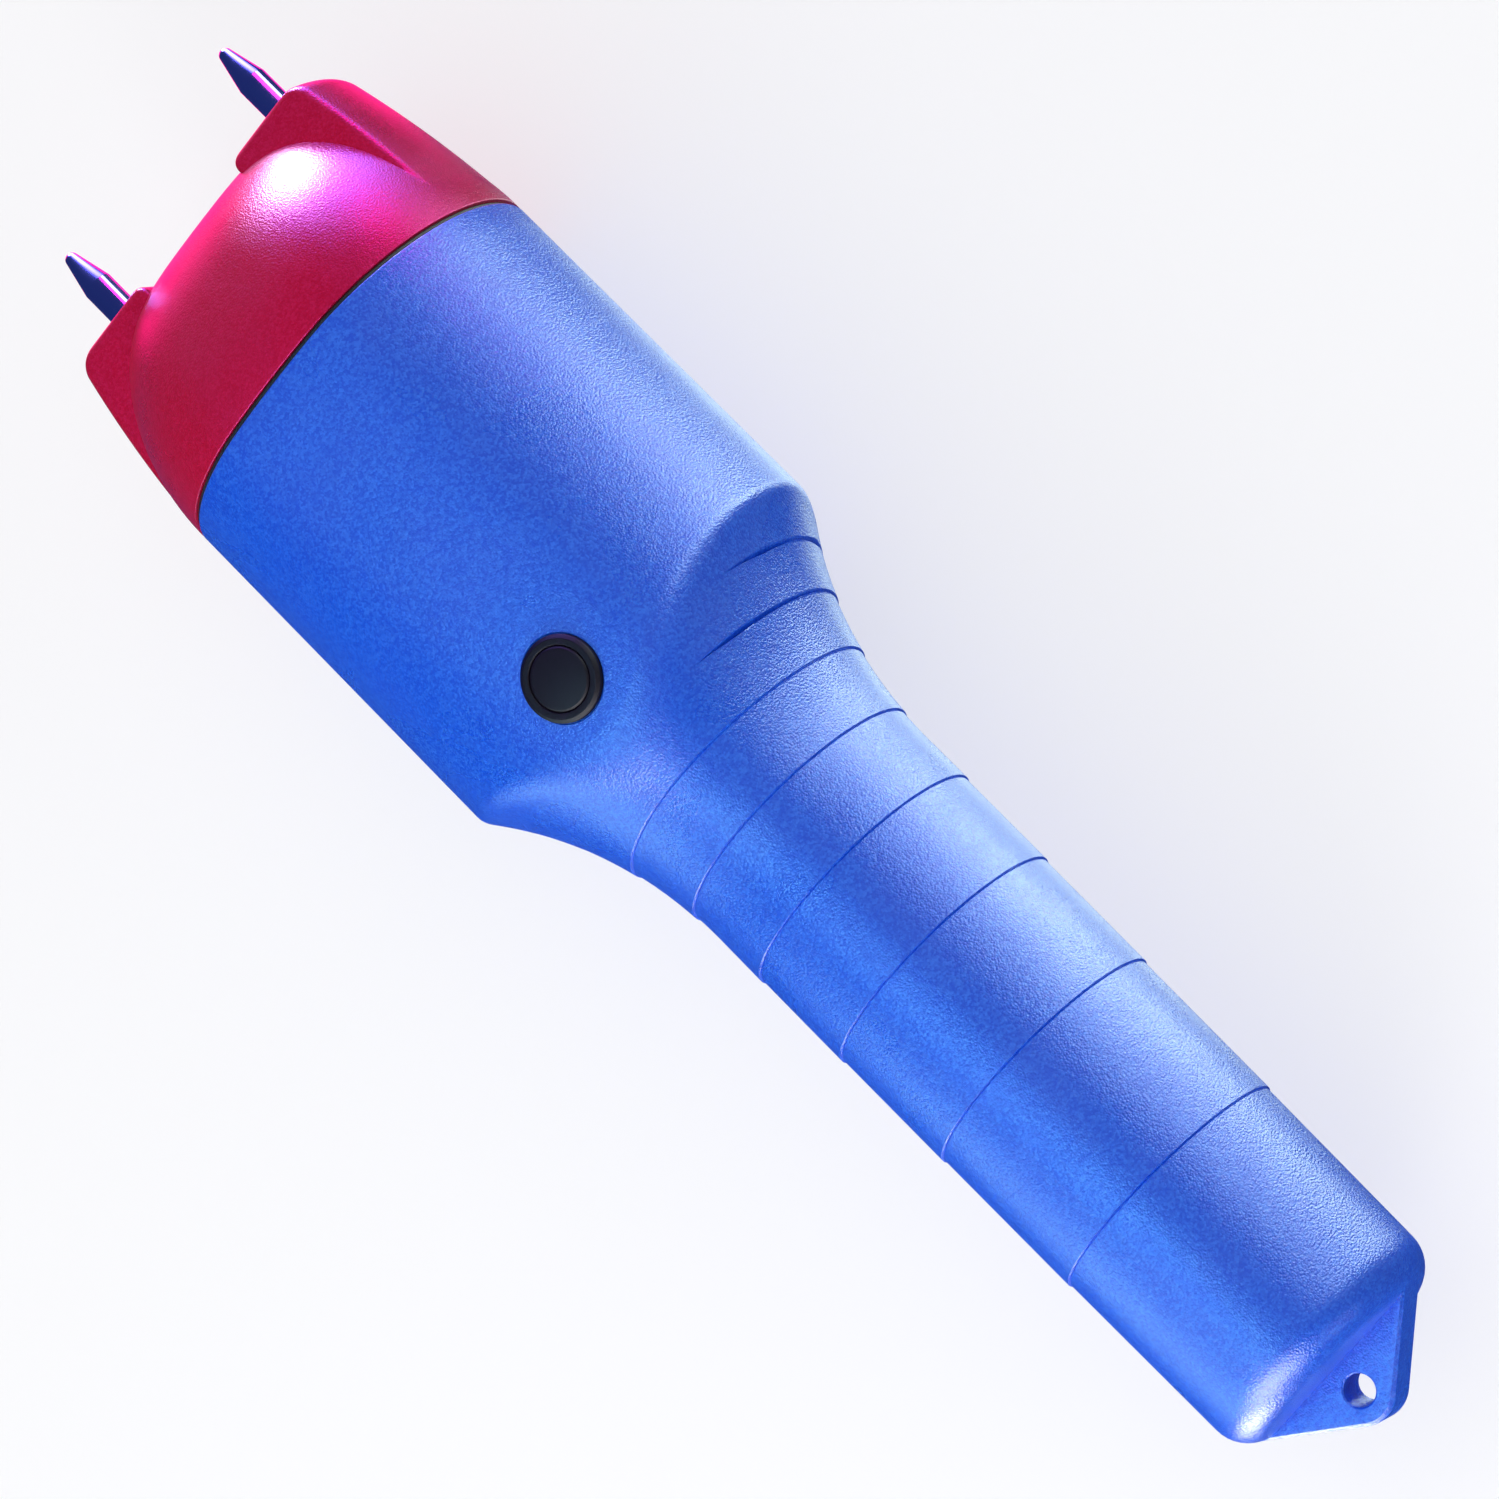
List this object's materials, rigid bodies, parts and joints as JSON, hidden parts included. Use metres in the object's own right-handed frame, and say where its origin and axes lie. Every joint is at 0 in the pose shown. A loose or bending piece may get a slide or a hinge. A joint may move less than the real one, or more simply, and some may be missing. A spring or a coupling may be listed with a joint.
{
  "type": "cattle prodder",
  "caption": "Handheld electric stock prodder: oval barrel flaring into a ringed round grip, horned head with pointed electrodes, push button and a lanyard lug at the tail.",
  "frame": {"origin": "middle of the bounding box in plan, on the floor plane under the back of the barrel", "axes": "+X along the axis to the electrode tips, +Z out of the button side, +Y across the two electrodes"},
  "size_m": [0.273, 0.0704, 0.0595],
  "materials": {
    "blue_shell": "fine sandblasted grain, matt",
    "red_shell": "fine grain, half gloss",
    "black_seal": "matt",
    "polished_steel": "turned and polished",
    "plated_steel": "zinc plated",
    "black_plastic": "moulded, half matt",
    "brass_contact": "bright",
    "cell_jacket": "plain jacket without print",
    "green_board": "solder mask",
    "grey_ferrite": "sintered, matt",
    "cream_bobbin": "moulded",
    "copper_winding": "varnished copper wire",
    "capacitor_sleeve": "shrunk sleeve without print",
    "black_resin": "moulded resin",
    "red_wire": "soft sleeve",
    "black_wire": "soft sleeve"
  },
  "bodies": {
    "prodder": {"housing": "blue_shell", "head_cap": "red_shell", "head_seal": "black_seal", "electrode_left": "polished_steel", "electrode_right": "polished_steel", "electrode_nut_left": "plated_steel", "electrode_nut_right": "plated_steel", "switch_washer": "plated_steel", "switch_nut": "plated_steel", "button_spring": "plated_steel", "battery_spring": "plated_steel", "switch_bush": "black_plastic", "switch_body": "black_plastic", "contact_carrier": "black_plastic", "lead_tag_left": "brass_contact", "lead_tag_right": "brass_contact", "terminal_front": "brass_contact", "terminal_rear": "brass_contact", "front_contact": "brass_contact", "tail_contact": "brass_contact", "return_strip": "brass_contact", "battery_front": "cell_jacket", "battery_rear": "cell_jacket", "circuit_board": "green_board", "transformer_core": "grey_ferrite", "transformer_bobbin": "cream_bobbin", "transformer_winding": "copper_winding", "storage_capacitor": "capacitor_sleeve", "power_transistor": "black_resin", "rectifier_diode": "black_resin", "hv_lead_left": "red_wire", "supply_lead": "red_wire", "switch_lead": "red_wire", "hv_lead_right": "black_wire", "return_lead": "black_wire"},
    "button": {"button_cap": "black_plastic", "button_stem": "plated_steel", "contact_bridge": "brass_contact"}
  },
  "joints": [
    {"name": "button_press", "type": "slide", "parent": "prodder", "child": "button", "axis": [0, 0, -1], "range_m": [0, 0.0015], "stiffness_N_per_m": 800, "springref_m": -0.002, "deforming": ["button_spring"]}
  ]
}
